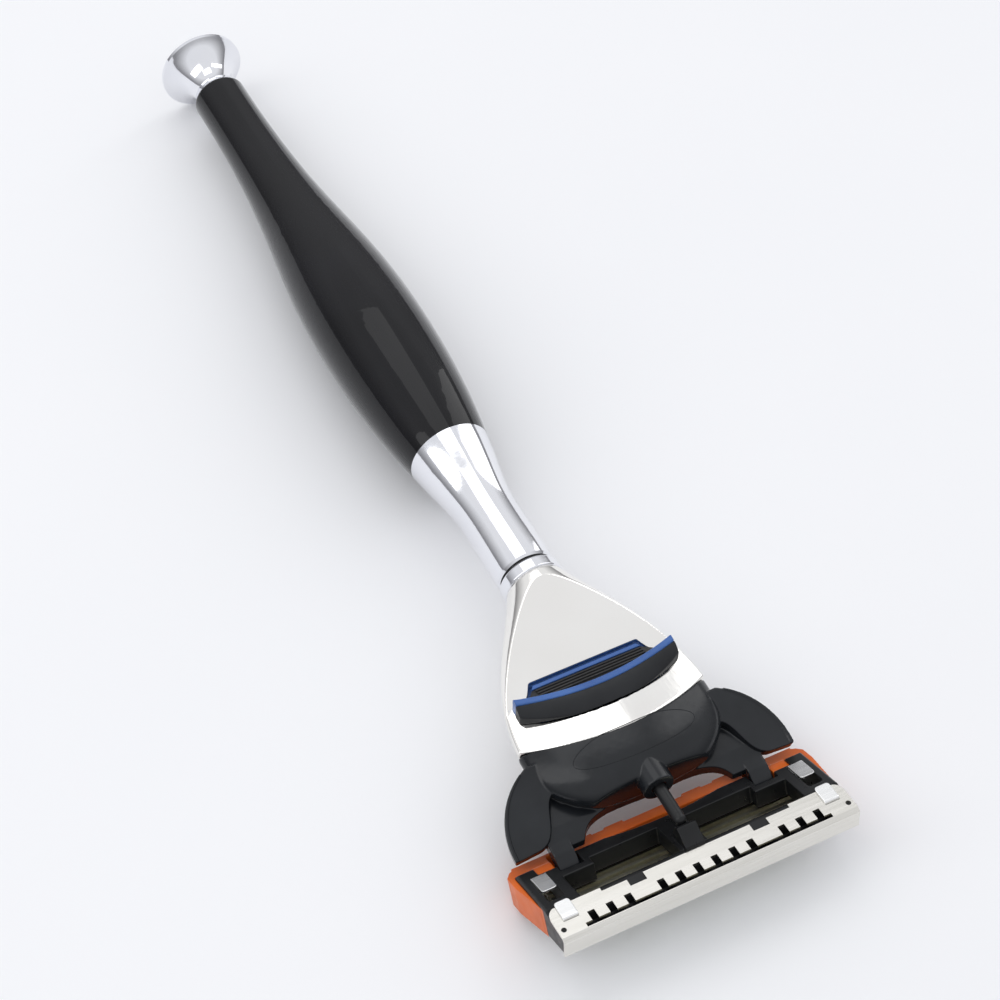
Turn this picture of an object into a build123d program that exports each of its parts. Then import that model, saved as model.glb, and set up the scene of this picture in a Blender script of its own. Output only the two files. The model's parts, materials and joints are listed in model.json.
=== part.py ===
from build123d import *
from math import atan2, cos, radians, sin
import os

# A cartridge razor with a turned handle, lying blades down with its release button up.
# Millimetres. X runs along the cartridge, +Y towards the pommel and +Z up. The origin lies
# under the middle of the razor, on the surface that the pommel rim and the guard rest on.
#
# Two local frames keep the outlines simple:
#   handle     (along, x, up)    along the handle axis towards the cartridge, from the grip's front end
#   cartridge  (across, x, out)  from the guard to the trimmer, and out of the cartridge's back

# ---------------------------------------------------------------- driving dimensions
# handle: stations along the axis, and radii
POMMEL_END = -88.9
POMMEL_RIM_RADIUS = 6.49
POMMEL_RIM = 0.9
GRIP_REAR = -81.15
GRIP_PROFILE = ((-81.15, 4.10), (-72.8, 4.15), (-54.1, 5.34), (-35.5, 7.56), (-26.1, 7.96), (-12.0, 7.45), (0, 5.90))
COLLAR_PROFILE = ((0, 5.90), (4.8, 5.09), (9.6, 4.31), (15.3, 4.16), (22.6, 4.14))
COLLAR_END = 22.9
RING_START = 23.5
RING_END = 25.35
RING_RADIUS = 4.35
ROD_RADIUS = 2.0
SPIGOT_RADIUS = 1.75

# head shell: station, half width, top and bottom of each oval section
SHELL_SECTIONS = (
    (RING_END, 4.2, 4.2, -4.2),
    (30.0, 6.9, 4.3, -4.5),
    (35.0, 9.9, 3.8, -5.2),
    (40.0, 12.1, 3.1, -6.0),
    (44.0, 13.1, 2.8, -6.5),
    (51.0, 13.7, 2.4, -6.8),
)
FACET_START = (27.2, 4.1)
FACET_END = (38.7, 0.06)
ROOF_RADIUS = 41.0
ROOF_TOP = 0.9
SHELL_FRONT = 50.5
FRONT_ARC = 26.1
WINDOW_REAR = 38.7
WINDOW_HALF = 7.84

# release button, ejector and plunger
BUTTON_TRAVEL = 3.0
BUTTON_REAR = 39.15
STEM_FRONT = 43.45
STEM_HALF = 9.1
STEM_CORNER = 41.1
STEM_ARC = 22.4
PAD_REAR = 39.7
CREST_ARC = 37.6
CREST_FRONT = 43.9
CREST_WIDTH = 1.0
CREST_TOP = 2.0
CREST_HALF = 11.4
SKIRT_ARC = 22.5
SKIRT_FRONT = 46.6
SLIDE_GAP = 0.08
PLUNGER_RADIUS = 0.85
PLUNGER_UP = -1.5
PLUNGER_TIP = 64.27
FLANGE_START = 53.1
FLANGE_RADIUS = 1.12
NOSE_FRONT = 54.9
NOSE_HALF = 7.0
NOSE_TOP = -2.3
NOSE_LOW = -4.8
HEEL_HALF = 5.5
HEEL_LOW = -4.1
SPINE_RADIUS = 1.65
BORE_RADIUS = 1.2
SPRING_UP = -3.9
SCREW_PLACE = 38.4
SCREW_SEAT = -5.2
PRONG_PLACE = 5.5
PRONG_UP = (-3.4, -2.4)
FIT_GAP = 0.05

# cartridge
TILT = 26.6
HALF_WIDTH = 20.6
BAY_INNER = 1.9
BAY_OUTER = 15.8
PIVOT = (1.0, -1.5)
PIVOT_PIN = 0.75
PIVOT_GAP = 0.06
GUARD_LOW = -5.4
GUARD_NOSE = -2.3
BLADE_COUNT = 5
BLADE_PITCH = 1.3
FIRST_EDGE = 1.5
EDGE_LEVEL = -5.25
NOTCH_PLACES = (1.25, 3.75, 6.25, 10.8, 13.3, 15.8)

# ---------------------------------------------------------------- frames
# The handle axis rises a little towards the head, because the guard reaches further
# below it than the pommel rim does.
lean = radians(TILT)
guard_along = 60 + GUARD_NOSE * cos(lean) - GUARD_LOW * sin(lean)
guard_up = -6 + GUARD_NOSE * sin(lean) + GUARD_LOW * cos(lean)
rim_along = POMMEL_END + POMMEL_RIM
rise = atan2(-POMMEL_RIM_RADIUS - guard_up, guard_along - rim_along)
axis_height = POMMEL_RIM_RADIUS * cos(rise) - rim_along * sin(rise)
FRONT_REACH = 73.7
axis_shift = (POMMEL_END + FRONT_REACH) / 2 * cos(rise)

handle = Plane(
    origin=(0, axis_shift, axis_height),
    x_dir=(0, -cos(rise), sin(rise)),
    z_dir=(0, sin(rise), cos(rise)),
)


def side_of(base, x=0.0):
    """The plane facing -X at x, with base's first axis across it and base's up axis up it."""
    return Plane(origin=base.from_local_coords((0, x, 0)), x_dir=base.x_dir, z_dir=(-1, 0, 0))


def square_to(base, station):
    """The plane square to base's first axis at station, with X across it."""
    return Plane(origin=base.from_local_coords((station, 0, 0)), x_dir=(1, 0, 0), z_dir=base.x_dir)


def turned(base, origin, angle):
    """A frame at origin in base, its first axis turned up by angle degrees."""
    turn = radians(angle)
    ahead = base.x_dir * cos(turn) + base.z_dir * sin(turn)
    out = base.z_dir * cos(turn) - base.x_dir * sin(turn)
    return Plane(origin=base.from_local_coords(origin), x_dir=ahead, z_dir=out)


handle_side = side_of(handle)
handle_axis = Axis(handle.origin, handle.x_dir)
handle_up = Axis(handle.origin, handle.z_dir)
cartridge = turned(handle, (60, 0, -6), TILT)
cartridge_side = side_of(cartridge)


def save(piece, name):
    piece.part.label = name
    export_step(piece.part, f"parts/{name}.step")


def slab(base, along, x, up, mode=Mode.ADD):
    """A block in base between two stations, two x places and two heights."""
    with BuildSketch(side_of(base, x[1])) as side:
        with Locations(((along[0] + along[1]) / 2, (up[0] + up[1]) / 2)):
            Rectangle(along[1] - along[0], up[1] - up[0])
    extrude(side.sketch, amount=x[1] - x[0], mode=mode)


def bar(base, start, end, radius, up, x=0.0, mode=Mode.ADD):
    """A round bar or hole in base, parallel to its first axis."""
    with BuildSketch(square_to(base, start)) as end_face:
        with Locations((x, up)):
            Circle(radius)
    extrude(end_face.sketch, amount=end - start, mode=mode)


def prism(base, x, outline, mode=Mode.ADD):
    """A side outline in base, carried from the first x place to the second."""
    with BuildSketch(side_of(base, x[1])) as side:
        Polygon(*outline, align=None)
    extrude(side.sketch, amount=x[1] - x[0], mode=mode)


os.makedirs("parts", exist_ok=True)

# ================================================================ handle
# Every turned piece is half a profile, revolved round the handle axis.

with BuildPart() as pommel:
    with BuildSketch(handle_side):
        with BuildLine():
            Polyline(
                (GRIP_REAR, 3.6), (GRIP_REAR, 0), (POMMEL_END, 0), (POMMEL_END, POMMEL_RIM_RADIUS - 0.35),
                (POMMEL_END + 0.35, POMMEL_RIM_RADIUS), (rim_along, POMMEL_RIM_RADIUS),
            )
            Spline((rim_along, POMMEL_RIM_RADIUS), (-86.2, 4.3), (-83.9, 3.25), (GRIP_REAR, 3.6))
        make_face()
    revolve(axis=handle_axis)
    bar(handle, -86.0, GRIP_REAR, ROD_RADIUS, 0, mode=Mode.SUBTRACT)
save(pommel, "pommel")

with BuildPart() as tie_rod:
    bar(handle, -85.8, 7.6, ROD_RADIUS, 0)
    chamfer(tie_rod.edges().filter_by(GeomType.CIRCLE), length=0.35)
save(tie_rod, "tie_rod")

with BuildPart() as grip:
    with BuildSketch(handle_side):
        with BuildLine():
            Spline(*GRIP_PROFILE)
            Polyline(GRIP_PROFILE[-1], (0, 0), (GRIP_REAR, 0), GRIP_PROFILE[0])
        make_face()
    revolve(axis=handle_axis)
    rear_rim = grip.edges().filter_by(GeomType.CIRCLE).sort_by(handle_axis)[0]
    fillet(rear_rim, radius=0.6)
    bar(handle, GRIP_REAR, 0, ROD_RADIUS + 0.1, 0, mode=Mode.SUBTRACT)
save(grip, "grip")

with BuildPart() as collar:
    with BuildSketch(handle_side):
        with BuildLine():
            Spline(*COLLAR_PROFILE)
            Line(COLLAR_PROFILE[-1], (COLLAR_END, 3.85))
            Polyline((COLLAR_END, 3.85), (COLLAR_END, 0), (0, 0), COLLAR_PROFILE[0])
        make_face()
    revolve(axis=handle_axis)
    bar(handle, 0, 8.0, ROD_RADIUS, 0, mode=Mode.SUBTRACT)
    bar(handle, 14.0, COLLAR_END, SPIGOT_RADIUS, 0, mode=Mode.SUBTRACT)
save(collar, "collar")

with BuildPart() as collar_o_ring:
    bar(handle, COLLAR_END, RING_START, 3.8, 0)
    fillet(collar_o_ring.edges(), radius=0.25)
    bar(handle, COLLAR_END - 1, RING_START + 1, SPIGOT_RADIUS, 0, mode=Mode.SUBTRACT)
save(collar_o_ring, "collar_o_ring")

with BuildPart() as neck_ring:
    bar(handle, RING_START, RING_END, RING_RADIUS, 0)
    fillet(neck_ring.edges(), radius=0.3)
    bar(handle, RING_START - 1, RING_END + 1, SPIGOT_RADIUS, 0, mode=Mode.SUBTRACT)
save(neck_ring, "neck_ring")

# ================================================================ head shell
# A cast spatula. Its rear is cut by a flat facet, its roof before and beside the button
# is a shallow cylinder, and its front end is an arc that the yoke's hub nests against.

facet_slope = (FACET_END[1] - FACET_START[1]) / (FACET_END[0] - FACET_START[0])


def facet_height(station):
    return FACET_END[1] + facet_slope * (station - FACET_END[0])


def front_disc(extra=0.0, mode=Mode.ADD):
    """The upright disc whose front edge is the arc of the shell's front end."""
    with BuildSketch(handle.offset(-12)) as disc:
        with Locations((SHELL_FRONT - FRONT_ARC, 0)):
            Circle(FRONT_ARC + extra)
    extrude(disc.sketch, amount=24, mode=mode)


def roof_bar(start, end, extra=0.0, mode=Mode.ADD):
    """The long cylinder whose top is the shell's roof."""
    bar(handle, start, end, ROOF_RADIUS + extra, ROOF_TOP - ROOF_RADIUS, mode=mode)


def stem_outline(rear, rear_half, half, front):
    """Plan of the button's stem and of its window: straight rear, slanting sides, arched front."""
    corner = front - STEM_ARC + (STEM_ARC**2 - half**2) ** 0.5
    with BuildLine() as edge:
        Polyline(
            (corner, -half), (STEM_CORNER, -half), (rear, -rear_half),
            (rear, rear_half), (STEM_CORNER, half), (corner, half),
        )
        ThreePointArc((corner, half), (front, 0), (corner, -half))
    make_face(edge.line)


def post(station, low, high, radius, mode=Mode.ADD):
    """A round post or hole square to the handle axis, between two heights."""
    with BuildSketch(handle.offset(low)) as foot:
        with Locations((station, 0)):
            Circle(radius)
    extrude(foot.sketch, amount=high - low, mode=mode)


def insert_body(gap=0.0, mode=Mode.ADD):
    """The nose insert: a flat nose, a narrower heel and a round spine. The pockets take it with a gap."""
    nose = NOSE_HALF + gap
    heel = HEEL_HALF + gap
    slab(handle, (40.0 - gap, NOSE_FRONT + gap), (-nose, nose), (NOSE_LOW - gap, NOSE_TOP + gap), mode)
    slab(handle, (37.0 - gap, 40.0), (-heel, heel), (HEEL_LOW - gap, NOSE_TOP + gap), mode)
    bar(handle, 46.5 - gap, NOSE_FRONT + gap, SPINE_RADIUS + gap, PLUNGER_UP, mode=mode)


def crest_disc(front):
    """The disc whose front edge is one of the crest's two arcs, in the sketch being drawn."""
    with Locations((front - CREST_ARC, 0)):
        Circle(CREST_ARC)


with BuildPart() as above_facet:
    # the facet runs on past the roof's rear, as far as the button's crest
    with BuildSketch(handle.offset(-2)):
        crest_disc(CREST_FRONT - CREST_WIDTH - 0.1)
        with Locations((WINDOW_REAR + 3, 0)):
            Rectangle(6.2, 2 * CREST_HALF + 0.4, mode=Mode.INTERSECT)
    extrude(amount=6)
    prism(handle, (-20, 20), ((38, facet_height(38)), (44, facet_height(44)), (44, 6), (38, 6)), Mode.INTERSECT)

with BuildPart() as below_roof:
    prism(handle, (-20, 20), ((20, facet_height(20)), (54, facet_height(54)), (54, -14), (20, -14)))
    roof_bar(WINDOW_REAR, 54)

with BuildPart() as head_shell:
    for station, half_width, top, bottom in SHELL_SECTIONS:
        with BuildSketch(square_to(handle, station)):
            with Locations((0, (top + bottom) / 2)):
                Ellipse(half_width, (top - bottom) / 2)
    loft()
    add(below_roof.part, mode=Mode.INTERSECT)
    front_disc(mode=Mode.INTERSECT)
    add(above_facet.part, mode=Mode.SUBTRACT)
    bar(handle, 14.5, 27.0, SPIGOT_RADIUS, 0)
    # button window, open into the pocket below it
    with BuildSketch(handle.offset(-2)):
        stem_outline(WINDOW_REAR, WINDOW_HALF, STEM_HALF + 0.15, STEM_FRONT + BUTTON_TRAVEL + 0.05)
    extrude(amount=6, mode=Mode.SUBTRACT)
    # room for the button's base plate, and below it the pocket for the nose insert
    slab(handle, (36.9, 46.8), (-9.6, 9.6), (NOSE_TOP, -1.2), Mode.SUBTRACT)
    insert_body(FIT_GAP, Mode.SUBTRACT)
    # stepped hole for the insert's screw, from below
    post(SCREW_PLACE, -7, SCREW_SEAT, 1.45, Mode.SUBTRACT)
    post(SCREW_PLACE, SCREW_SEAT, HEEL_LOW, 0.85, Mode.SUBTRACT)
save(head_shell, "head_shell")

# ================================================================ nose insert and its mechanism
with BuildPart() as nose_insert:
    insert_body()
    # plunger bore, and the smaller hole in its front wall
    bar(handle, 47.0, 54.0, BORE_RADIUS, PLUNGER_UP, mode=Mode.SUBTRACT)
    bar(handle, 53.5, 56.0, PLUNGER_RADIUS + SLIDE_GAP, PLUNGER_UP, mode=Mode.SUBTRACT)
    # channels for the ejector's bar, its two prongs and its spring tongue
    slab(handle, (40.3, 46.4), (-6.5, 6.5), (PRONG_UP[0] - 0.1, -2.2), Mode.SUBTRACT)
    for place in (-PRONG_PLACE, PRONG_PLACE):
        slab(handle, (45.0, 57), (place - 1.0, place + 1.0), (PRONG_UP[0] - 0.1, -2.2), Mode.SUBTRACT)
    slab(handle, (41.9, 46.4), (-1.0, 1.0), (-4.6, -3.4), Mode.SUBTRACT)
    bar(handle, 43.0, 50.5, 0.65, SPRING_UP, mode=Mode.SUBTRACT)
    # tapped hole for the retaining screw
    post(SCREW_PLACE, -4.5, -3.0, 0.8, Mode.SUBTRACT)
save(nose_insert, "nose_insert")

with BuildPart() as insert_screw:
    post(SCREW_PLACE, SCREW_SEAT - 0.45, SCREW_SEAT, 1.4)
    post(SCREW_PLACE, SCREW_SEAT, -3.1, 0.8)
    # cross slot in the head
    with BuildSketch(handle.offset(SCREW_SEAT - 0.45)):
        with Locations((SCREW_PLACE, 0)):
            Rectangle(1.5, 0.35)
            Rectangle(0.35, 1.5)
    extrude(amount=0.28, mode=Mode.SUBTRACT)
save(insert_screw, "insert_screw")

# The button is a blue core with a raised crest, a black front skirt that overhangs the
# shell's roof, and a ribbed black pad in the hollow behind the crest.


with BuildPart() as hollow:
    with BuildSketch(handle.offset(-2)):
        crest_disc(CREST_FRONT - CREST_WIDTH)
    extrude(amount=6)
    prism(handle, (-12, 12), ((PAD_REAR, -0.9), (PAD_REAR, 4), (44, 4), (44, 1.65)), Mode.INTERSECT)

with BuildPart() as behind_crest:
    with BuildSketch(handle.offset(-2)):
        crest_disc(CREST_FRONT - CREST_WIDTH)
    extrude(amount=6)

with BuildPart() as button_core:
    # crest, standing on the roof with a sliding gap
    with BuildSketch(handle.offset(-1.5)):
        crest_disc(CREST_FRONT)
        with Locations((CREST_FRONT - CREST_WIDTH - CREST_ARC, 0)):
            Circle(CREST_ARC, mode=Mode.SUBTRACT)
        with Locations((CREST_FRONT - 2, 0)):
            Rectangle(8, 2 * CREST_HALF, mode=Mode.INTERSECT)
    extrude(amount=1.5 + CREST_TOP)
    crest_face = button_core.faces().sort_by(handle_up)[-1]
    fillet(crest_face.edges().filter_by(GeomType.CIRCLE), radius=0.25)
    roof_bar(30, 60, SLIDE_GAP, Mode.SUBTRACT)
    # stem through the window, hollowed behind the crest
    with BuildSketch(handle.offset(-2.0)):
        stem_outline(BUTTON_REAR, 7.5, STEM_HALF, STEM_FRONT)
    extrude(amount=3.2)
    add(hollow.part, mode=Mode.SUBTRACT)
    slab(handle, (38, PAD_REAR), (-12, 12), (-0.1, 3), Mode.SUBTRACT)
    # base plate, held under the roof
    slab(handle, (38.0, 43.4), (-9.4, 9.4), (-2.2, -1.3))
save(button_core, "button_core")

with BuildPart() as button_front:
    with BuildSketch(handle.offset(-1.6)):
        with Locations((SKIRT_FRONT - SKIRT_ARC, 0)):
            Circle(SKIRT_ARC)
        with Locations((CREST_FRONT - CREST_ARC, 0)):
            Circle(CREST_ARC, mode=Mode.SUBTRACT)
        with Locations((44, 0)):
            Rectangle(8, 2 * CREST_HALF + 0.2, mode=Mode.INTERSECT)
    extrude(amount=4)
    # domed front face: a shallow cone whose axis stands at the skirt's arc centre
    with BuildSketch(handle_side):
        with BuildLine():
            start = (SKIRT_FRONT - SKIRT_ARC, -3)
            Polyline(start, (SKIRT_FRONT - SKIRT_ARC, 1.95), (43.6, 1.95))
            ThreePointArc((43.6, 1.95), (45.5, 1.7), (SKIRT_FRONT + 0.1, 0.7))
            Polyline((SKIRT_FRONT + 0.1, 0.7), (SKIRT_FRONT + 0.1, -3), start)
        make_face()
    skirt_axis = Axis(handle.from_local_coords((SKIRT_FRONT - SKIRT_ARC, 0, 0)), handle.z_dir)
    revolve(axis=skirt_axis, mode=Mode.INTERSECT)
    roof_bar(30, 60, SLIDE_GAP, Mode.SUBTRACT)
save(button_front, "button_front")

with BuildPart() as button_pad:
    with BuildSketch(handle.offset(-2.0)):
        stem_outline(PAD_REAR, 7.9, STEM_HALF - 0.15, STEM_FRONT - 0.15)
    extrude(amount=5)
    # wedge between the hollow's floor and the pad's sloping top
    wedge = ((PAD_REAR, -0.9), (PAD_REAR, -0.35), (42.9, 1.55), (42.9, 1.0))
    prism(handle, (-12, 12), wedge, Mode.INTERSECT)
    pad_slope = turned(handle, (PAD_REAR, 0, -0.35), 30.7)
    for rib in range(4):
        slab(pad_slope, (0.45 + 0.75 * rib, 0.8 + 0.75 * rib), (-7.6, 7.6), (-0.1, 0.22))
    add(behind_crest.part, mode=Mode.INTERSECT)
save(button_pad, "button_pad")

with BuildPart() as ejector:
    slab(handle, (40.4, 43.0), (-6.4, 6.4), (PRONG_UP[0], -2.2))
    for place in (-PRONG_PLACE, PRONG_PLACE):
        slab(handle, (43.0, NOSE_FRONT - 0.1), (place - 0.9, place + 0.9), PRONG_UP)
    slab(handle, (42.0, 43.0), (-0.9, 0.9), (-4.55, PRONG_UP[0]))
save(ejector, "ejector")


def coil(name, start, end, mean_radius, wire, turns, up):
    """A compression spring round a line parallel to the handle axis."""
    with BuildPart() as spring:
        free_length = end - start - 2 * wire
        seat = handle.from_local_coords((start + wire, 0, up))
        with BuildLine() as path:
            Helix(free_length / turns, free_length, mean_radius, center=seat, direction=handle.x_dir)
        with BuildSketch(Plane(origin=path.line @ 0, z_dir=path.line % 0)):
            Circle(wire)
        sweep()
    save(spring, name)


coil("button_spring", 43.05, 50.45, 0.48, 0.1, 8, SPRING_UP)
coil("plunger_spring", 47.05, FLANGE_START - 0.02, 0.95, 0.13, 7, PLUNGER_UP)

with BuildPart() as plunger:
    bar(handle, FLANGE_START, FLANGE_START + 0.8, FLANGE_RADIUS, PLUNGER_UP)
    bar(handle, FLANGE_START, PLUNGER_TIP + PLUNGER_RADIUS, PLUNGER_RADIUS, PLUNGER_UP)
    fillet(plunger.edges().sort_by(handle_axis)[-1], radius=PLUNGER_RADIUS - 0.01)
save(plunger, "plunger")

# ================================================================ yoke
# The cartridge's connecting piece: a domed hub that slips over the nose insert, two winged
# arms, and two fingers whose pins carry the housing.
HUB_SECTIONS = (
    (46.0, 13.45, 1.6, -6.9),
    (50.6, 13.25, 1.4, -6.8),
    (53.5, 12.2, 1.15, -6.3),
    (55.8, 10.3, 0.65, -5.7),
    (57.3, 8.2, -0.4, -5.0),
)
ARM_START = (49.5, 13.6, -1.3)
ARM_FALL = -14.8
ARM_BANK = 9.0
ARM_THICKNESS = 1.5
FINGER = (12.5, 15.3)
FINGER_EYE = 1.05
BOSS_RADIUS = 2.2
pivot_line = cartridge.from_local_coords((PIVOT[0], 0, PIVOT[1]))
pivot_in_handle = handle.to_local_coords(pivot_line)


def arm_plane():
    """The banked plane of the right arm's face: along it, then out across it."""
    fall = turned(handle, ARM_START, ARM_FALL)
    bank = radians(ARM_BANK)
    face = fall.z_dir * cos(bank) + fall.y_dir * sin(bank)
    return Plane(origin=fall.origin, x_dir=fall.x_dir, z_dir=face)


def arm_outline():
    with BuildLine() as edge:
        ThreePointArc((-0.4, 0.1), (3.5, 4.75), (10.1, 6.45))
        Polyline((10.1, 6.45), (10.0, 2.9))
        Spline((10.0, 2.9), (9.3, 1.5), (7.4, 0.35), (4.2, -1.3), (3.9, -3.2))
        Polyline((3.9, -3.2), (0, -4.5), (-0.4, 0.1))
    make_face(edge.line)


with BuildPart() as hub_form:
    for station, half_width, top, bottom in HUB_SECTIONS:
        with BuildSketch(square_to(handle, station)):
            with Locations((0, (top + bottom) / 2)):
                Ellipse(half_width, (top - bottom) / 2)
    loft()
    fillet(hub_form.faces().sort_by(handle_axis)[-1].edges(), radius=0.9)

with BuildPart() as yoke:
    # right arm with a raised lip along its outer edge
    with BuildSketch(arm_plane()):
        arm_outline()
    extrude(amount=-ARM_THICKNESS)
    with BuildSketch(arm_plane()):
        arm_outline()
        with Locations((0, -0.5)):
            with BuildSketch(mode=Mode.PRIVATE) as inner:
                arm_outline()
            add(inner.sketch, mode=Mode.SUBTRACT)
        with Locations((5, 4)):
            Rectangle(12, 6, mode=Mode.INTERSECT)
    extrude(amount=0.22)
    # right finger, reaching down to the pivot
    with BuildSketch(side_of(handle, FINGER[1])):
        Polygon((56.6, -4.4), (60.3, -4.9), (62.5, -6.2), (61.2, -8.0), (60.3, -6.6), (56.6, -5.8), align=None)
        with Locations((pivot_in_handle.X, pivot_in_handle.Z)):
            Circle(FINGER_EYE)
    extrude(amount=FINGER[1] - FINGER[0])
    with BuildSketch(side_of(handle, FINGER[0])):
        with Locations((pivot_in_handle.X, pivot_in_handle.Z)):
            Circle(PIVOT_PIN)
    extrude(amount=0.7)
    mirror(about=Plane.YZ)
    # arched web between the arms, under the hub
    with BuildSketch(side_of(handle, 15.0)):
        Polygon((50, -3.4), (57.0, -4.2), (59.7, -5.0), (59.7, -6.3), (56.5, -5.9), (50, -5.9), align=None)
    extrude(amount=30)
    with BuildSketch(handle.offset(-9)):
        with BuildLine():
            Spline(
                (61.5, -12.4), (59.9, -10.8), (58.4, -9.7), (57.4, -7.5), (57.3, 0),
                (57.4, 7.5), (58.4, 9.7), (59.9, 10.8), (61.5, 12.4),
            )
            Line((61.5, 12.4), (61.5, -12.4))
        make_face()
    extrude(amount=6, mode=Mode.SUBTRACT)
    # hub with its foot lip, the boss round the plunger
    add(hub_form.part)
    with BuildSketch(handle.offset(-5.0)):
        with Locations((49.5, 0)):
            Ellipse(7.8, 12.4)
        with Locations((56, 0)):
            Rectangle(10, 40, mode=Mode.INTERSECT)
    extrude(amount=1.1)
    bar(handle, 52, 59.1, BOSS_RADIUS, PLUNGER_UP)
    # rear end nests round the head shell's front arc
    front_disc(0.12, Mode.SUBTRACT)
    # socket for the nose insert and its spine, and the hole for the plunger
    insert_body(SLIDE_GAP, Mode.SUBTRACT)
    bar(handle, 54.5, 62, PLUNGER_RADIUS + SLIDE_GAP, PLUNGER_UP, mode=Mode.SUBTRACT)
save(yoke, "yoke")

# ================================================================ cartridge housing
HOUSING_SIDE = (
    (-0.4, -0.5), (0.1, 0), (8.9, 0), (8.95, -0.35), (13.1, -1.75),
    (13.3, -2.15), (12.3, -4.6), (0.3, -4.6), (-0.4, -4.2),
)
TRIMMER_BLADE_SIDE = ((12.88, -1.68), (12.98, -1.62), (13.12, -2.15), (12.3, -4.0), (12.1, -3.9), (12.88, -2.1))
CLIP_X = (17.3, 19.4)
CLIP_SIDE = (
    (5.6, 0.3), (2.15, 0.3), (1.95, 0.1), (0.9, -5.3), (1.05, -5.55), (11.05, -5.55), (11.2, -5.4),
    (11.2, -0.55), (11.0, -0.4), (8.6, 0.36), (8.5, 0.06), (10.9, -0.72), (10.9, -5.25), (1.2, -5.25),
    (2.22, 0), (5.6, 0),
)


def blade_edge(number):
    return FIRST_EDGE + BLADE_PITCH * (number - 1)


for side_name, clip_x in (("left", (-CLIP_X[1], -CLIP_X[0])), ("right", CLIP_X)):
    with BuildPart() as clip:
        prism(cartridge, clip_x, CLIP_SIDE)
        tab_corners = clip.edges().filter_by(lambda edge: 0.295 < edge.length < 0.33)
        fillet(tab_corners, radius=0.45)
    save(clip, f"clip_{side_name}")

with BuildPart() as housing:
    prism(cartridge, (-HALF_WIDTH, HALF_WIDTH), HOUSING_SIDE)
    end_faces = housing.faces().filter_by(Axis.X)
    chamfer(end_faces.edges().filter_by(lambda edge: edge.length > 8), length=0.3)
    # blade pocket, open to the face, and the two bays in the back
    slab(cartridge, (0.95, 8.85), (-18.0, 18.0), (-5, -2.55), Mode.SUBTRACT)
    for inner, outer, rear in ((BAY_INNER, 11.5, 2.45), (11.0, BAY_OUTER, 3.95)):
        slab(cartridge, (rear, 8.85), (inner, outer), (-3, 1), Mode.SUBTRACT)
        slab(cartridge, (rear, 8.85), (-outer, -inner), (-3, 1), Mode.SUBTRACT)
    # concave back edge between the fingers
    with BuildSketch(cartridge.offset(-1.4)):
        with BuildLine():
            ThreePointArc((-1, -11.9), (0.95, 0), (-1, 11.9))
            Line((-1, 11.9), (-1, -11.9))
        make_face()
    extrude(amount=2, mode=Mode.SUBTRACT)
    for side in (-1, 1):
        # slot that a yoke finger swings in
        finger_x = sorted((side * (FINGER[0] - 0.25), side * (FINGER[1] + 0.25)))
        finger_slot = ((-1, -0.9), (-1, 1), (3.2, 1), (2.3, PIVOT[1]), (2.0, -2.6), (0.2, -2.6))
        prism(cartridge, finger_x, finger_slot, Mode.SUBTRACT)
        # window that the guard's orange lug fills from the front
        window_x = sorted((side * 15.5, side * 18.1))
        slab(cartridge, (-1, 1.55), window_x, (-2.5, 1), Mode.SUBTRACT)
        # bearing for the pivot pin
        bearing_x = sorted((side * (FINGER[0] - 0.8), side * FINGER[0]))
        with BuildSketch(side_of(cartridge, bearing_x[1])):
            with Locations(PIVOT):
                Circle(PIVOT_PIN + PIVOT_GAP)
        extrude(amount=bearing_x[1] - bearing_x[0], mode=Mode.SUBTRACT)
        clip_x = sorted((side * CLIP_X[0], side * CLIP_X[1]))
        prism(cartridge, clip_x, CLIP_SIDE[:12], Mode.SUBTRACT)
    # channel under the trimmer comb, with a seat for the trimmer blade along it
    prism(
        cartridge, (-17.3, 17.3),
        ((11.1, 0), (12.9, 0), (12.9, -2.2), (12.2, -2.6), (11.3, -2.4)), Mode.SUBTRACT,
    )
    prism(cartridge, (-17.3, 17.3), TRIMMER_BLADE_SIDE, Mode.SUBTRACT)
    # groove for the lubricating strip
    slab(cartridge, (9.2, 11.6), (-16.6, 16.6), (-5, -4.1), Mode.SUBTRACT)
    # central cam rib that the plunger rests on
    prism(
        cartridge, (-1.35, 1.35),
        ((5.1, -0.5), (5.1, 0.0), (7.05, 2.2), (7.6, 2.35), (9.3, 0.3), (9.3, -0.5)),
    )
save(housing, "housing")

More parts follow.
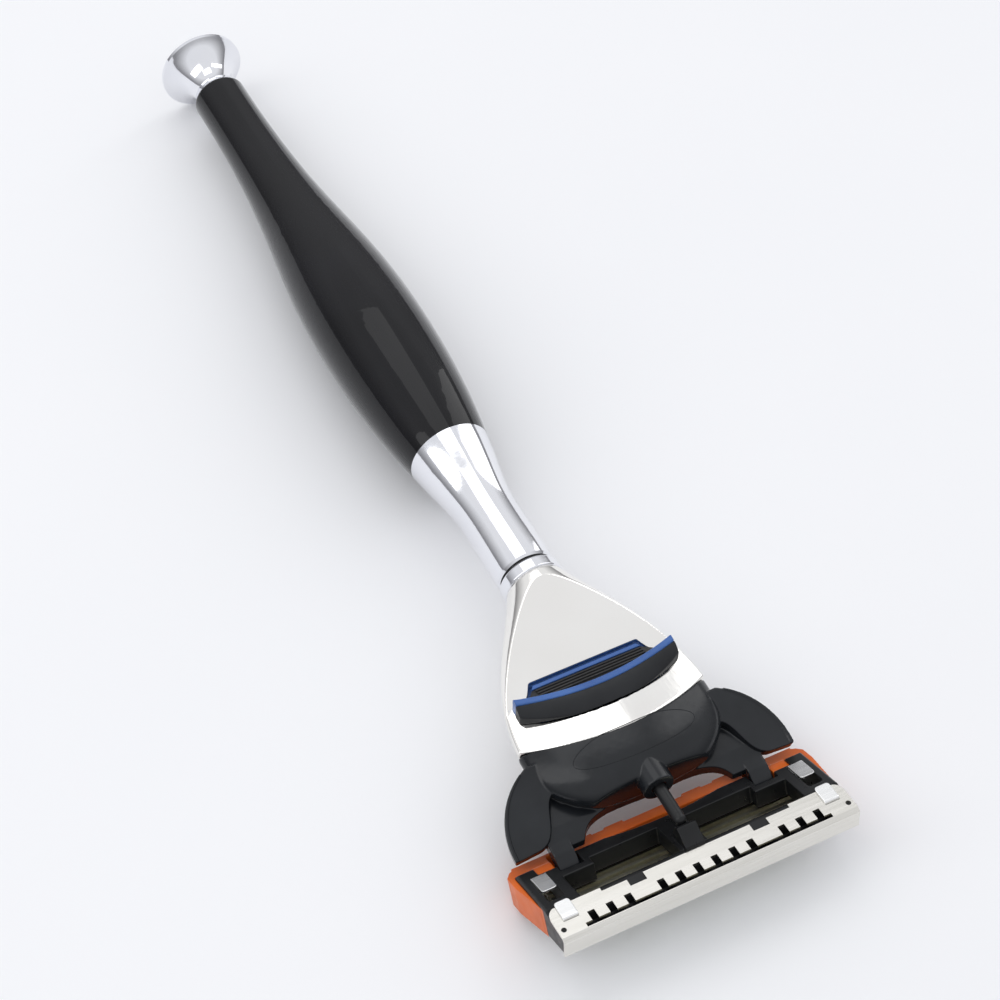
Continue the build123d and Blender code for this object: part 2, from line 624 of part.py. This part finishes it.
with BuildPart() as trimmer_cover:
    prism(
        cartridge, (-HALF_WIDTH - 0.1, HALF_WIDTH + 0.1),
        (
            (8.95, -0.08), (13.25, -1.50), (13.58, -2.12), (12.58, -4.7), (12.3, -4.6),
            (13.3, -2.15), (13.1, -1.75), (8.95, -0.35),
        ),
    )
    with BuildSketch(cartridge.offset(-8)):
        with Locations((14.85, 0)):
            RectangleRounded(12, 2 * HALF_WIDTH + 0.2, 1.5)
    extrude(amount=10, mode=Mode.INTERSECT)
    # stepped inner edge
    with BuildSketch(cartridge.offset(-2)):
        with Locations((8.4, 0)):
            Rectangle(1.9, 15.0)
        for side in (-1, 1):
            with Locations((9.4, 8.65 * side)):
                Rectangle(2.1, 2.3)
            with Locations((8.45, 11.5 * side)):
                Rectangle(2.0, 3.5)
    extrude(amount=3, mode=Mode.SUBTRACT)
    # comb notches opening into the long slot
    with BuildSketch(cartridge.offset(-3)):
        with Locations((12.85, 0)):
            Rectangle(0.6, 34.4)
        for place in NOTCH_PLACES:
            with Locations((11.95, place), (11.95, -place)):
                Rectangle(1.4, 0.95)
    extrude(amount=3, mode=Mode.SUBTRACT)
    # end holes, and slots that the clips come up through
    with BuildSketch(cartridge.offset(-2)):
        with Locations((12.25, 19.95), (12.25, -19.95)):
            Circle(0.35)
    extrude(amount=2, mode=Mode.SUBTRACT)
    for side in (-1, 1):
        clip_x = sorted((side * CLIP_X[0], side * CLIP_X[1]))
        slab(cartridge, (10.9, 11.25), clip_x, (-2, 1), Mode.SUBTRACT)
save(trimmer_cover, "trimmer_cover")

with BuildPart() as trimmer_blade:
    prism(cartridge, (-17.2, 17.2), TRIMMER_BLADE_SIDE)
save(trimmer_blade, "trimmer_blade")

with BuildPart() as lubricating_strip:
    slab(cartridge, (9.2, 11.6), (-16.6, 16.6), (-5.0, -4.1))
    outer_edges = lubricating_strip.edges().filter_by(Axis.X).sort_by(Axis(cartridge.origin, cartridge.z_dir))[:2]
    fillet(outer_edges, radius=0.35)
save(lubricating_strip, "lubricating_strip")

# ================================================================ guard
GUARD_SIDE = (
    (-0.4, -0.5), (-2.7, -0.5), (-3.0, -0.9), (-3.0, -1.9), (GUARD_NOSE - 0.2, -5.0),
    (GUARD_NOSE + 0.1, GUARD_LOW), (0.3, GUARD_LOW), (0.3, -4.6), (-0.4, -4.2),
)

with BuildPart() as guard_frame:
    prism(cartridge, (-20.2, 20.2), GUARD_SIDE)
    # castellated back edge
    with BuildSketch(cartridge.offset(-1.9)):
        with Locations((-2.9, 0)):
            Rectangle(1.3, 8.6)
        for side in (-1, 1):
            with Locations((-3.05, 7.9 * side)):
                Rectangle(1.3, 1.8)
            with Locations((-2.9, 16.0 * side)):
                Rectangle(0.8, 9.6)
    extrude(amount=3, mode=Mode.SUBTRACT)
    for side in (-1, 1):
        # wing that wraps the housing's end
        with BuildSketch(cartridge.offset(-4.6)):
            Polygon(
                (-2.4, 19.4 * side), (-1.9, 20.7 * side), (-1.0, 21.35 * side), (1.2, 21.4 * side),
                (8.0, HALF_WIDTH * side), (-0.4, HALF_WIDTH * side), (-0.4, 19.4 * side), align=None,
            )
        extrude(amount=4.1)
        # room for the yoke's finger, and the lug seen beside it
        finger_x = sorted((side * (FINGER[0] - 0.3), side * (FINGER[1] + 0.3)))
        slab(cartridge, (-1.9, 0), finger_x, (-1.9, 0), Mode.SUBTRACT)
        lug_x = sorted((side * 15.65, side * 18.1))
        slab(cartridge, (-0.5, 1.4), lug_x, (-2.5, -0.35))
    # groove for the rubber fins
    slab(cartridge, (-1.8, 0.05), (-17.6, 17.6), (-6, -4.9), Mode.SUBTRACT)
save(guard_frame, "guard_frame")

with BuildPart() as guard_fins:
    slab(cartridge, (-1.8, 0.05), (-17.6, 17.6), (-5.1, -4.9))
    for fin in range(5):
        slab(cartridge, (-1.7 + 0.36 * fin, -1.52 + 0.36 * fin), (-17.4, 17.4), (-5.38, -5.1))
save(guard_fins, "guard_fins")

# ================================================================ blades
for number in range(1, BLADE_COUNT + 1):
    edge = blade_edge(number)
    seat = turned(cartridge, (edge, 0, EDGE_LEVEL), 22)
    with BuildPart() as blade:
        prism(seat, (-17.7, 17.7), ((0, 0), (0.3, 0.1), (1.0, 0.1), (1.0, 0)))
    save(blade, f"blade_{number}")
    with BuildPart() as blade_support:
        prism(seat, (-17.8, 17.8), ((0.3, 0.1), (0.3, 0.25), (0.92, 0.25), (1.0, 0.1)))
        prism(
            cartridge, (-17.8, 17.8),
            ((edge + 0.74, -4.78), (edge + 0.74, -2.9), (edge + 0.9, -2.9), (edge + 0.9, -4.78)),
        )
        # folded lip, seen through the bays of the housing
        prism(
            cartridge, (-17.8, 17.8),
            ((edge + 0.25, -3.1), (edge + 0.25, -2.96), (edge + 0.9, -2.9), (edge + 0.9, -3.1)),
        )
    save(blade_support, f"blade_support_{number}")
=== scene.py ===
# %% [markdown]
# # A cartridge razor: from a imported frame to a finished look
# The razor arrives as a fixed frame of thirty-five pieces, each already in its place and riding
# on the body that moves it. This lesson sets up a small photo studio, gives every piece its
# finish, softens the edges, and adds one fine moulded detail that is easier to make here than in
# CAD. Loading the frame comes first, because every later measurement is taken from it.

# %% Load the frame and keep its box
import json
from math import cos, pi, sin

import bmesh
import bpy
from mathutils import Matrix, Vector
from mathutils.bvhtree import BVHTree


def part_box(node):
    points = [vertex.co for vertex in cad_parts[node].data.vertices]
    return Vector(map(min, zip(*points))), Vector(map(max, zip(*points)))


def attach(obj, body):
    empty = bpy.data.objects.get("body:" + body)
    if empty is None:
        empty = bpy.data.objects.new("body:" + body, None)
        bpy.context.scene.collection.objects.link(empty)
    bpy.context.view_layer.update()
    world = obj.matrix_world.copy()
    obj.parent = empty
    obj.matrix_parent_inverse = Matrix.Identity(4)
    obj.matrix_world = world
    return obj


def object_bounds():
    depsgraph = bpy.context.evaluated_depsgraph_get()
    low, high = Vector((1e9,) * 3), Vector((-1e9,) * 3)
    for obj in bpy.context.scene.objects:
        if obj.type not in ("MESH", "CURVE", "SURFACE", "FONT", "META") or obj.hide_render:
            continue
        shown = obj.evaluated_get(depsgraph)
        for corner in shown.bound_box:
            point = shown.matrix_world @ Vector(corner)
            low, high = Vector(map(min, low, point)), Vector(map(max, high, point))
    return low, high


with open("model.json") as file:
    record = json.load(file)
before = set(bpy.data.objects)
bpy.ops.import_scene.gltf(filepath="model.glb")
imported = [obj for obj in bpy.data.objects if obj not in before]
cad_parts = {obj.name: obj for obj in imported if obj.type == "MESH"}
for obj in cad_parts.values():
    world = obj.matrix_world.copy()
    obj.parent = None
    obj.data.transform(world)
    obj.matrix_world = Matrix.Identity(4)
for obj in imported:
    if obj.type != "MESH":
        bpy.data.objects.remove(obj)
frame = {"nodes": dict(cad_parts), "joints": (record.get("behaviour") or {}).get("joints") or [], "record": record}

cad_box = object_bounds()
MM = 0.001
print("pieces in the frame:", len(frame["nodes"]))
print("razor size in mm:", [round(side / MM, 1) for side in cad_box[1] - cad_box[0]])

# %% [markdown]
# ## The handle's own directions
# The handle leans a couple of degrees, so "along it" isn't quite any of the room's axes. Its
# direction could be typed in, but reading it from the record is safer: the button slides along
# the handle, so the button's joint already holds it. The direction out of the handle's top
# follows from that one and from the direction across the cartridge.

# %% Read the handle's direction
joints = {joint["name"]: joint for joint in frame["joints"]}
ahead = Vector(joints["button_slide"]["axis"]).normalized()
across = Vector((1, 0, 0))
above = across.cross(-ahead).normalized()
if above.z < 0:
    above.negate()
print("handle direction:", [round(c, 3) for c in ahead])
print("out of the handle's top:", [round(c, 3) for c in above])

# %% [markdown]
# ## One start for every material
# All the finishes here are the same shader with different numbers. The constant values go onto
# the shader's own sockets, where they are easy to find and change. The texture place is taken
# from the object itself, so that the fine detail stays on a piece when the piece moves.

# %% A shared way to start a material


def start_material(name, colour, metallic=0.0, roughness=0.4):
    """A material whose shader carries the constant values, with its nodes ready for detail."""
    material = bpy.data.materials.new(name)
    material.use_nodes = True
    tree = material.node_tree
    shader = tree.nodes["Principled BSDF"]
    shader.inputs["Base Color"].default_value = (*colour, 1)
    shader.inputs["Metallic"].default_value = metallic
    shader.inputs["Roughness"].default_value = roughness
    place = tree.nodes.new("ShaderNodeTexCoord")
    return material, tree, shader, place.outputs["Object"]


print("materials start from the plain shader")

# %% [markdown]
# ## Fine unevenness
# No real surface is quite one colour or one gloss. One noise field is enough to show it:
# stretched along a direction it becomes streaks, and left alone it becomes clouds or grain. Its
# value then drives a shade, a gloss or a shallow relief. Most of a noise field's values lie
# between 0.3 and 0.7, so that is the part that is spread over the wanted range.

# %% Noise, and the three things it drives
NOISE_LOW = 0.3
NOISE_HIGH = 0.7


def noise(tree, place, scale, detail=4.0, stretch=(1, 1, 1)):
    """Noise that can be stretched into streaks: a small number lengthens it along that axis."""
    mapping = tree.nodes.new("ShaderNodeMapping")
    mapping.inputs["Scale"].default_value = stretch
    tree.links.new(place, mapping.inputs["Vector"])
    texture = tree.nodes.new("ShaderNodeTexNoise")
    texture.inputs["Scale"].default_value = scale
    texture.inputs["Detail"].default_value = detail
    tree.links.new(mapping.outputs["Vector"], texture.inputs["Vector"])
    return texture.outputs["Fac"]


def ranged(tree, value, low, high):
    """Maps a noise value onto the range that a socket wants."""
    node = tree.nodes.new("ShaderNodeMapRange")
    node.inputs["From Min"].default_value = NOISE_LOW
    node.inputs["From Max"].default_value = NOISE_HIGH
    node.inputs["To Min"].default_value = low
    node.inputs["To Max"].default_value = high
    tree.links.new(value, node.inputs["Value"])
    return node.outputs["Result"]


def tinted(tree, value, dark, light):
    """Turns a noise value into a colour between two shades."""
    ramp = tree.nodes.new("ShaderNodeValToRGB")
    ramp.color_ramp.elements[0].position = NOISE_LOW
    ramp.color_ramp.elements[0].color = (*dark, 1)
    ramp.color_ramp.elements[1].position = NOISE_HIGH
    ramp.color_ramp.elements[1].color = (*light, 1)
    tree.links.new(value, ramp.inputs["Fac"])
    return ramp.outputs["Color"]


def bumped(tree, shader, value, depth, strength):
    """Feeds a value to the shader as a fine relief, depth metres high."""
    bump = tree.nodes.new("ShaderNodeBump")
    bump.inputs["Strength"].default_value = strength
    bump.inputs["Distance"].default_value = depth
    tree.links.new(value, bump.inputs["Height"])
    tree.links.new(bump.outputs["Normal"], shader.inputs["Normal"])


print("noise is spread from", NOISE_LOW, "to", NOISE_HIGH)

# %% [markdown]
# ## The studio floor
# A product shot on white needs a floor with no visible edge. A single wide sheet does it, with a
# very faint mottling so that it reads as paper and not as empty space.

# %% Lay the floor
FLOOR_HALF = 3.0


def sheet_mesh(name, half):
    """A flat square sheet on the ground, half a side in metres."""
    mesh = bpy.data.meshes.new(name)
    form = bmesh.new()
    corners = [form.verts.new((x * half, y * half, 0)) for x, y in ((-1, -1), (1, -1), (1, 1), (-1, 1))]
    form.faces.new(corners)
    form.to_mesh(mesh)
    form.free()
    return mesh


floor = bpy.data.objects.new("floor", sheet_mesh("floor", FLOOR_HALF))
bpy.context.scene.collection.objects.link(floor)
paper, tree, shader, place = start_material("paper", (0.93, 0.935, 0.95), roughness=0.6)
mottle = noise(tree, place, scale=14)
mottled = tinted(tree, mottle, (0.925, 0.93, 0.945), (0.94, 0.943, 0.955))
tree.links.new(mottled, shader.inputs["Base Color"])
bumped(tree, shader, noise(tree, place, scale=900), depth=0.00002, strength=0.15)
floor.data.materials.append(paper)
print("floor width in metres:", 2 * FLOOR_HALF)

# %% [markdown]
# ## The room's light
# Polished metal shows its surroundings more than its own colour. A single even white all round
# would leave the chrome with no shape, so the room is white overhead and falls to grey towards
# the floor. The height of each direction drives a two-colour ramp, which is all it takes.

# %% Light the room
HORIZON_HEIGHT = 0.06
HORIZON_GREY = (0.30, 0.30, 0.315)
OVERHEAD_HEIGHT = 0.55
OVERHEAD_WHITE = (0.96, 0.97, 1.0)
ROOM_STRENGTH = 0.85

world = bpy.data.worlds.new("room")
bpy.context.scene.world = world
world.use_nodes = True
room = world.node_tree.nodes["Background"]
ramp = world.node_tree.nodes.new("ShaderNodeValToRGB")
height = world.node_tree.nodes.new("ShaderNodeSeparateXYZ")
direction = world.node_tree.nodes.new("ShaderNodeTexCoord")
world.node_tree.links.new(direction.outputs["Generated"], height.inputs["Vector"])
world.node_tree.links.new(height.outputs["Z"], ramp.inputs["Fac"])
world.node_tree.links.new(ramp.outputs["Color"], room.inputs["Color"])
ramp.color_ramp.elements[0].position = HORIZON_HEIGHT
ramp.color_ramp.elements[0].color = (*HORIZON_GREY, 1)
ramp.color_ramp.elements[1].position = OVERHEAD_HEIGHT
ramp.color_ramp.elements[1].color = (*OVERHEAD_WHITE, 1)
room.inputs["Strength"].default_value = ROOM_STRENGTH
print("room light strength:", room.inputs["Strength"].default_value)

# %% [markdown]
# ## Softboxes
# The room alone is too even to show that the grip is polished. A large softbox at each side draws
# a long highlight down the handle, and one overhead fills the flat top of the head. Each is
# placed from the middle of the razor and turned to face it.

# %% Hang the softboxes
razor_centre = (cad_box[0] + cad_box[1]) / 2


def softbox(name, offset, width, length, power):
    """A rectangular light that faces the razor. Metres from the razor's middle, and watts."""
    data = bpy.data.lights.new(name, "AREA")
    data.shape = "RECTANGLE"
    data.size = width
    data.size_y = length
    data.energy = power
    light = bpy.data.objects.new(name, data)
    light.location = razor_centre + Vector(offset)
    light.rotation_mode = "QUATERNION"
    light.rotation_quaternion = (razor_centre - light.location).to_track_quat("-Z", "Y")
    bpy.context.scene.collection.objects.link(light)


softbox("softbox_left", (-0.55, 0.10, 0.65), width=0.35, length=0.9, power=1.35)
softbox("softbox_right", (0.75, 0.35, 0.55), width=0.22, length=0.9, power=0.8)
softbox("softbox_top", (0.0, 0.55, 1.0), width=0.8, length=0.5, power=1.1)

# %% [markdown]
# ## The camera
# The razor is seen from above its cartridge end, a little to the left. A long lens keeps the
# pommel from shrinking. Two directions give the camera its aim and its slight roll: where it
# looks, and where its right side points.

# %% Place the camera
CAMERA_PLACE = Vector((-0.09687, -0.19981, 0.28292))
LOOK = Vector((0.29007, 0.53124, -0.79602)).normalized()
RIGHT = Vector((0.89193, -0.45155, 0.02366)).normalized()
LENS_MM = 91.28
SENSOR_MM = 36
NEAREST_SEEN = 0.01

camera_data = bpy.data.cameras.new("camera")
camera_data.lens = LENS_MM
camera_data.sensor_width = SENSOR_MM
camera_data.clip_start = NEAREST_SEEN
camera = bpy.data.objects.new("camera", camera_data)
bpy.context.scene.collection.objects.link(camera)
bpy.context.scene.camera = camera
camera_up = RIGHT.cross(LOOK)
turn = Matrix((RIGHT, camera_up, -LOOK)).transposed()
camera.matrix_world = Matrix.Translation(CAMERA_PLACE) @ turn.to_4x4()
bpy.context.scene.view_settings.view_transform = "Standard"
print("camera height above the floor in mm:", round(camera.matrix_world.translation.z / MM))

# %% [markdown]
# ## Plated metal
# The pommel, collar and neck ring are turned and chromed; the head is cast, polished and plated
# in a warmer nickel. Plating is a mirror, so its character comes from what breaks the mirror:
# faint polishing streaks, a film of handling marks and the softest waviness. Chrome streaks run
# round the turned pieces, and the head's run along it.

# %% Chrome and nickel
ROUND_THE_HANDLE = (1, 14, 1)
ALONG_THE_HEAD = (8, 1, 8)


def plated(name, cool, warm, gloss, streak):
    """Polished plating: a clouded film, streaked gloss and a very low waviness."""
    material, tree, shader, place = start_material(name, warm, metallic=1.0, roughness=gloss[0])
    film = noise(tree, place, scale=90, detail=6)
    tree.links.new(tinted(tree, film, cool, warm), shader.inputs["Base Color"])
    marks = noise(tree, place, scale=520, detail=5, stretch=streak)
    tree.links.new(ranged(tree, marks, *gloss), shader.inputs["Roughness"])
    bumped(tree, shader, noise(tree, place, scale=160, detail=2), depth=0.00002, strength=0.10)
    return material


chrome = plated("chrome", (0.83, 0.84, 0.88), (0.90, 0.90, 0.92), (0.05, 0.12), ROUND_THE_HANDLE)
nickel = plated("nickel", (0.93, 0.91, 0.87), (0.97, 0.955, 0.92), (0.07, 0.15), ALONG_THE_HEAD)
print("plated finishes:", chrome.name, nickel.name)

# %% [markdown]
# ## Polished resin
# The grip is cast black resin, turned and buffed. Under the clear buffed skin the black has a
# trace of cloud in it, and close up there are hairline polishing marks along the length. A clear
# coat over a slightly rougher base gives the two-layer depth that a single gloss doesn't.

# %% Resin
resin, tree, shader, place = start_material("resin", (0.008, 0.008, 0.009), roughness=0.22)
shader.inputs["Specular IOR Level"].default_value = 0.06
shader.inputs["Coat Weight"].default_value = 1.0
shader.inputs["Coat Roughness"].default_value = 0.03
shader.inputs["Coat IOR"].default_value = 1.31
cloud = noise(tree, place, scale=60, detail=5)
clouded = tinted(tree, cloud, (0.004, 0.004, 0.005), (0.008, 0.008, 0.010))
tree.links.new(clouded, shader.inputs["Base Color"])
hairlines = noise(tree, place, scale=2600, detail=3, stretch=(1, 0.03, 1))
tree.links.new(ranged(tree, hairlines, 0.14, 0.32), shader.inputs["Roughness"])
bumped(tree, shader, hairlines, depth=0.000002, strength=0.12)
print("resin coat index:", round(shader.inputs["Coat IOR"].default_value, 2))

# %% [markdown]
# ## Ground and rolled steel
# Blades, springs and the trimmer's sheet are thin steel. Grinding and rolling leave fine parallel
# lines, so the same streaked noise drives the shade, the roughness and a very shallow relief. The
# sheet steel is paler and a little yellow, and the clips are soft bright aluminium.

# %% Steel and aluminium
ALONG_THE_CARTRIDGE = (0.04, 1, 1)


def streaked_metal(name, dark, light, gloss, scale=2400, relief=0.000004):
    """Bare metal with fine lines running along the cartridge."""
    material, tree, shader, place = start_material(name, light, metallic=1.0, roughness=gloss[0])
    lines = noise(tree, place, scale, detail=4, stretch=ALONG_THE_CARTRIDGE)
    tree.links.new(tinted(tree, lines, dark, light), shader.inputs["Base Color"])
    tree.links.new(ranged(tree, lines, *gloss), shader.inputs["Roughness"])
    bumped(tree, shader, lines, relief, strength=0.4)
    return material


steel = streaked_metal("steel", (0.42, 0.42, 0.40), (0.62, 0.62, 0.60), (0.24, 0.42))
trimmer_steel = streaked_metal(
    "trimmer_steel", (0.74, 0.72, 0.665), (0.82, 0.80, 0.75), (0.18, 0.28), relief=0.0000015,
)
aluminium = streaked_metal(
    "aluminium", (0.90, 0.90, 0.89), (0.95, 0.95, 0.94), (0.20, 0.28), scale=3200, relief=0.000001,
)
blade_steel = streaked_metal("blade_steel", (0.62, 0.60, 0.48), (0.86, 0.84, 0.70), (0.28, 0.42))
comb_steel = streaked_metal("comb_steel", (0.10, 0.098, 0.075), (0.20, 0.19, 0.14), (0.35, 0.50))
bare_metals = (steel, trimmer_steel, aluminium, blade_steel, comb_steel)
print("bare metals:", [metal.name for metal in bare_metals])

# %% [markdown]
# ## Moulded plastic
# A mould leaves its own surface on plastic: a polished tool gives a gloss with faint flow clouds,
# and a spark-eroded tool gives an even fine grain. One recipe makes them all, with the grain's
# depth and the two shades as its settings. The bright colours let a little light through.

# %% A recipe for moulded plastic
THROUGH_REACH = (0.0012, 0.0005, 0.0002)


def moulded(name, dark, light, gloss, grain=0.000006, grain_scale=5200, through=0.0, shine=0.5):
    """Moulded plastic: clouded colour, uneven gloss and the tool's fine grain."""
    material, tree, shader, place = start_material(name, light, roughness=gloss[0])
    shader.inputs["Specular IOR Level"].default_value = shine
    cloud = noise(tree, place, scale=170, detail=5)
    tree.links.new(tinted(tree, cloud, dark, light), shader.inputs["Base Color"])
    tree.links.new(ranged(tree, noise(tree, place, scale=900), *gloss), shader.inputs["Roughness"])
    bumped(tree, shader, noise(tree, place, grain_scale, detail=3), grain, strength=0.5)
    if through:
        shader.inputs["Subsurface Weight"].default_value = through
        shader.inputs["Subsurface Radius"].default_value = THROUGH_REACH
    return material


print("light reaches into the plastic, in mm:", [round(reach / MM, 1) for reach in THROUGH_REACH])

# %% [markdown]
# ## The plastics and the rubber
# The yoke is a smooth slate grey, the housing a duller black, and the button's skirt a charcoal
# between them. The button's crest is blue and the guard orange. The lubricating strip is waxy and
# lets the most light through, and the rubber has the deepest grain.

# %% Mix the plastics and the rubber
slate = moulded(
    "slate_plastic", (0.009, 0.0105, 0.0125), (0.015, 0.017, 0.020), (0.16, 0.24),
    grain=0.0000012, shine=0.36,
)
black = moulded(
    "black_plastic", (0.006, 0.0065, 0.007), (0.012, 0.0125, 0.0135), (0.26, 0.40),
    grain=0.000003, shine=0.32,
)
charcoal = moulded(
    "charcoal_plastic", (0.009, 0.010, 0.012), (0.016, 0.0175, 0.020), (0.34, 0.50),
    grain=0.000003, shine=0.35,
)
blue = moulded(
    "blue_plastic", (0.040, 0.110, 0.34), (0.058, 0.150, 0.42), (0.30, 0.44),
    grain=0.000004, through=0.1, shine=0.4,
)
orange = moulded(
    "orange_plastic", (0.60, 0.105, 0.010), (0.76, 0.15, 0.016), (0.28, 0.42),
    grain=0.000002, through=0.15, shine=0.4,
)
waxy = moulded(
    "waxy_strip", (0.62, 0.70, 0.64), (0.78, 0.84, 0.79), (0.45, 0.65),
    grain=0.00002, grain_scale=1800, through=0.3,
)
rubber = moulded(
    "rubber", (0.012, 0.012, 0.012), (0.022, 0.022, 0.022), (0.55, 0.75),
    grain=0.00001, grain_scale=3600,
)
print("moulded:", [mix.name for mix in (slate, black, charcoal, blue, orange, waxy, rubber)])

# %% [markdown]
# ## Give every piece its finish
# Each piece of the frame keeps its shape and takes a finish by its material slot in the record.
# A few pieces differ from the rest of their slot: the blades are paler and yellower than the
# springs, the trimmer's own blade is darker, and the button's skirt is charcoal.

# %% Assign the finishes
finish_of_slot = {
    "chrome": chrome, "nickel": nickel, "resin": resin, "steel": steel, "rubber": rubber,
    "dark_plastic": slate, "black_plastic": black, "blue_plastic": blue, "orange_plastic": orange,
    "aluminium": aluminium, "trimmer_steel": trimmer_steel, "strip": waxy,
}
finish_of_node = {"button_front": charcoal, "trimmer_blade": comb_steel}
for number in range(1, 6):
    finish_of_node[f"blade_{number}"] = blade_steel
    finish_of_node[f"blade_support_{number}"] = blade_steel

slot_of_node = {row["node"]: row["material_slot"] for row in frame["record"]["subparts"]}
for node, piece in frame["nodes"].items():
    finish = finish_of_node.get(node, finish_of_slot[slot_of_node[node]])
    piece.data.materials.clear()
    piece.data.materials.append(finish)
print("finished pieces:", len(slot_of_node))

# %% [markdown]
# ## Take the hardness off the edges
# Casting, polishing and moulding never leave a knife edge, and it is the rounded edge that
# catches the light. The CAD edges are exact, so here each cast or moulded piece is given an even
# skin of tiny cells and then relaxed a little. A bevel would be lighter, but the triangles along
# the long curved edges are too thin for it. The pieces keep their own meshes: this is only a
# pair of modifiers on top.

# %% Soften the cast and moulded pieces
RELAX_SHARE = 0.5


def soften(node, cell, rounds):
    """Rounds the edges of a piece by about the size of its cells, in millimetres."""
    piece = frame["nodes"][node]
    skin = piece.modifiers.new("even_skin", "REMESH")
    skin.mode = "VOXEL"
    skin.voxel_size = cell * MM
    skin.use_smooth_shade = True
    relax = piece.modifiers.new("soft_edges", "SMOOTH")
    relax.factor = RELAX_SHARE
    relax.iterations = rounds


softened = {
    "head_shell": (0.11, 14), "yoke": (0.10, 8), "button_front": (0.06, 10), "button_core": (0.06, 6),
    "housing": (0.09, 4), "guard_frame": (0.09, 5), "clip_left": (0.05, 4), "clip_right": (0.05, 4),
}
for node, (cell, rounds) in softened.items():
    soften(node, cell, rounds)
print("softened:", sorted(softened))

# %% [markdown]
# ## The oval on the hub
# The top of the hub carries a very low moulded oval, a raised line about a tenth of a millimetre
# wide. It is drawn as a thin curve laid on the hub: a ring of points is dropped onto the hub's
# surface, and the curve through them is given a round section that is half sunk into it.

# %% A way to lay a raised line on a piece
DROP_HEIGHT = 20 * MM
SECTION_STEPS = 3


def surface_of(node):
    """A search tree over a piece's own faces."""
    mesh = frame["nodes"][node].data
    return BVHTree.FromPolygons([v.co for v in mesh.vertices], [p.vertices for p in mesh.polygons])


def laid_line(name, node, points, radius, finish, body):
    """A closed raised line that follows a piece's surface under the given points."""
    skin = surface_of(node)
    landed = []
    for point in points:
        hit = skin.ray_cast(point + above * DROP_HEIGHT, -above)[0]
        if hit is not None:
            landed.append(hit)
    curve = bpy.data.curves.new(name, "CURVE")
    curve.dimensions = "3D"
    curve.bevel_depth = radius
    curve.bevel_resolution = SECTION_STEPS
    spline = curve.splines.new("POLY")
    spline.points.add(len(landed) - 1)
    for spot, place_on in zip(spline.points, landed):
        spot.co = (*place_on, 1)
    spline.use_cyclic_u = True
    line = bpy.data.objects.new(name, curve)
    bpy.context.scene.collection.objects.link(line)
    curve.materials.append(finish)
    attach(line, body)
    return line


hub_low, hub_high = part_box("yoke")
print("yoke width in mm:", round((hub_high.x - hub_low.x) / MM, 1))

# %% [markdown]
# ## Where the oval goes
# The middle of the hub's top lies just behind the plunger's rear end, so the plunger's box gives
# the oval its place. The oval is long across the hub and short along it, like the hub itself.

# %% Lay the oval line
OVAL_BEHIND = 0.6 * MM
OVAL_ALONG = 2.3 * MM
OVAL_ACROSS = 8.6 * MM
OVAL_STEPS = 96
OVAL_LINE_RADIUS = 0.055 * MM

pin_low, pin_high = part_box("plunger")
rod_rear = Vector((0, pin_high.y, (pin_low.z + pin_high.z) / 2))
oval_centre = rod_rear - ahead * OVAL_BEHIND
oval = []
for step in range(OVAL_STEPS):
    angle = 2 * pi * step / OVAL_STEPS
    oval.append(oval_centre + ahead * OVAL_ALONG * sin(angle) + across * OVAL_ACROSS * cos(angle))
oval_line = laid_line("hub_oval", "yoke", oval, OVAL_LINE_RADIUS, slate, "yoke")
print("oval points:", len(oval_line.data.splines[0].points))
